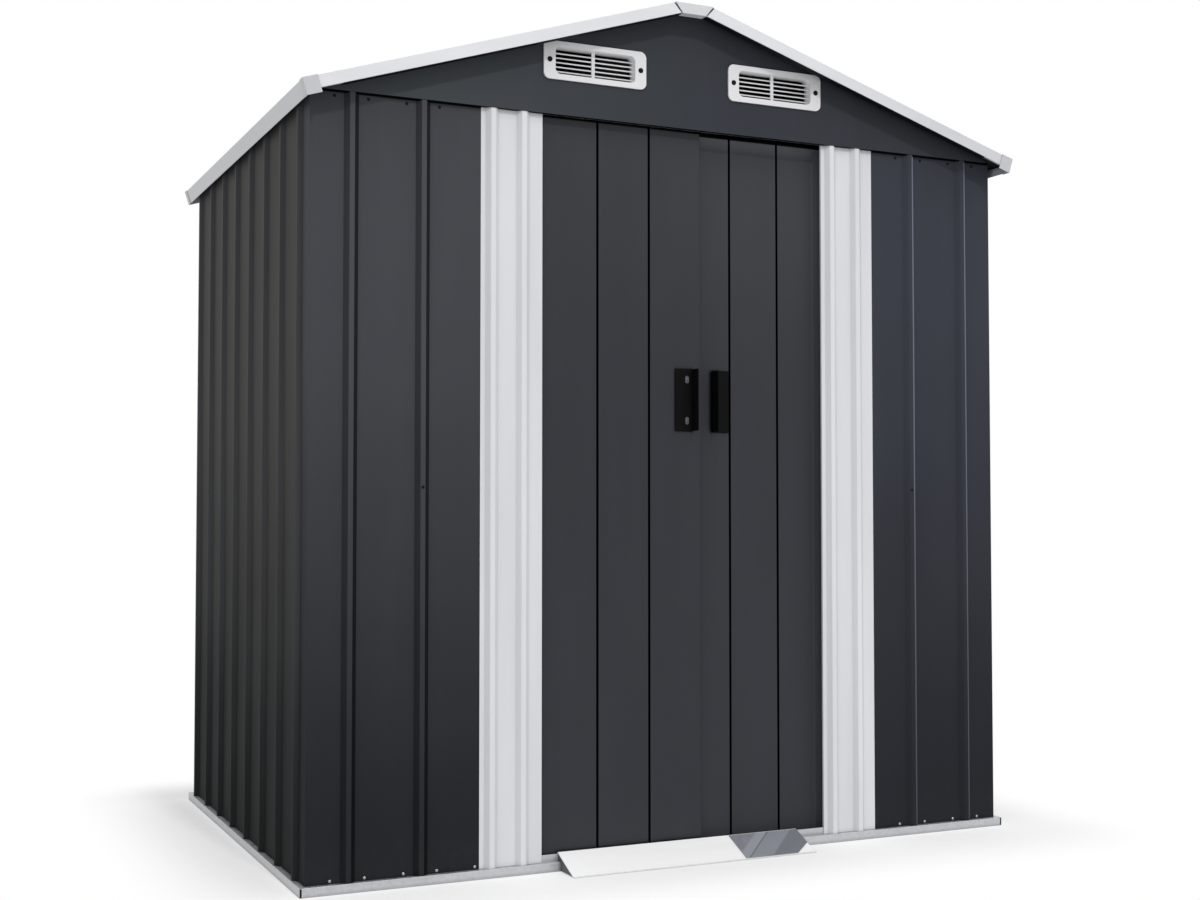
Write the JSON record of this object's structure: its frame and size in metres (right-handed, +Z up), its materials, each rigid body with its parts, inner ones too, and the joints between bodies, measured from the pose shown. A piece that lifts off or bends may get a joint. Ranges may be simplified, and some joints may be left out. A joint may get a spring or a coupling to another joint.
{
  "type": "metal storage shed",
  "caption": "Gabled garden shed of ribbed sheet steel on a base frame, with sliding doors on tracks, white jambs and trims, louvred gable vents and an entry ramp.",
  "frame": {"origin": "middle of the shed's box on the ground, ramp included", "axes": "+Z up, the doors and the ramp face -Y, +X to the right as seen from the doors"},
  "size_m": [1.8736, 1.3734, 2.0055],
  "materials": {
    "wall_sheet": "satin anthracite paint on ribbed sheet steel",
    "door_sheet": "satin anthracite paint on the door sheets",
    "roof_sheet": "satin anthracite paint on the roof sheets",
    "white_sheet": "satin white paint on ribbed sheet steel",
    "white_trim": "satin white paint on the roof trims",
    "vent_plastic": "matt white moulded plastic",
    "cap_plastic": "matt white moulded plastic",
    "zinc_frame": "galvanised steel with a faint spangle",
    "ramp_sheet": "pale coated sheet steel",
    "grey_plate": "dark grey zinc with slanting rolled bands",
    "handle_black": "satin black powder coat",
    "slide_plastic": "black nylon"
  },
  "bodies": {
    "shed": {"base_rail_front": "zinc_frame", "base_rail_back": "zinc_frame", "base_rail_left": "zinc_frame", "base_rail_right": "zinc_frame", "door_track_bottom": "zinc_frame", "ramp": "ramp_sheet", "ramp_plate": "grey_plate", "front_panel_left": "wall_sheet", "front_panel_right": "wall_sheet", "door_jamb_left": "white_sheet", "door_jamb_right": "white_sheet", "side_panel_left_front": "wall_sheet", "side_panel_left_rear": "wall_sheet", "side_panel_right_front": "wall_sheet", "side_panel_right_rear": "wall_sheet", "back_panel_left": "wall_sheet", "back_panel_middle": "wall_sheet", "back_panel_right": "wall_sheet", "gable_front": "wall_sheet", "gable_back": "wall_sheet", "vent_left": "vent_plastic", "vent_right": "vent_plastic", "top_rail_front": "zinc_frame", "top_rail_back": "zinc_frame", "top_rail_left": "zinc_frame", "top_rail_right": "zinc_frame", "door_track_top": "zinc_frame", "wall_brace_left": "zinc_frame", "wall_brace_right": "zinc_frame", "wall_brace_back": "zinc_frame", "ridge_beam": "zinc_frame", "roof_panel_left": "roof_sheet", "roof_panel_right": "roof_sheet", "ridge_cap": "white_trim", "rake_trim_front_left": "white_trim", "rake_trim_front_right": "white_trim", "rake_trim_back_left": "white_trim", "rake_trim_back_right": "white_trim", "eave_trim_left": "white_trim", "eave_trim_right": "white_trim", "corner_caps": "cap_plastic", "peak_caps": "cap_plastic"},
    "left_door": {"door_leaf_left": "door_sheet", "door_handle_left": "handle_black", "door_slides_left": "slide_plastic"},
    "right_door": {"door_leaf_right": "door_sheet", "door_handle_right": "handle_black", "door_slides_right": "slide_plastic"}
  },
  "joints": [
    {"name": "left_door_slide", "type": "slide", "parent": "shed", "child": "left_door", "axis": [-1, 0, 0], "range_m": [0, 0.34]},
    {"name": "right_door_slide", "type": "slide", "parent": "shed", "child": "right_door", "axis": [1, 0, 0], "range_m": [0, 0.28]}
  ]
}
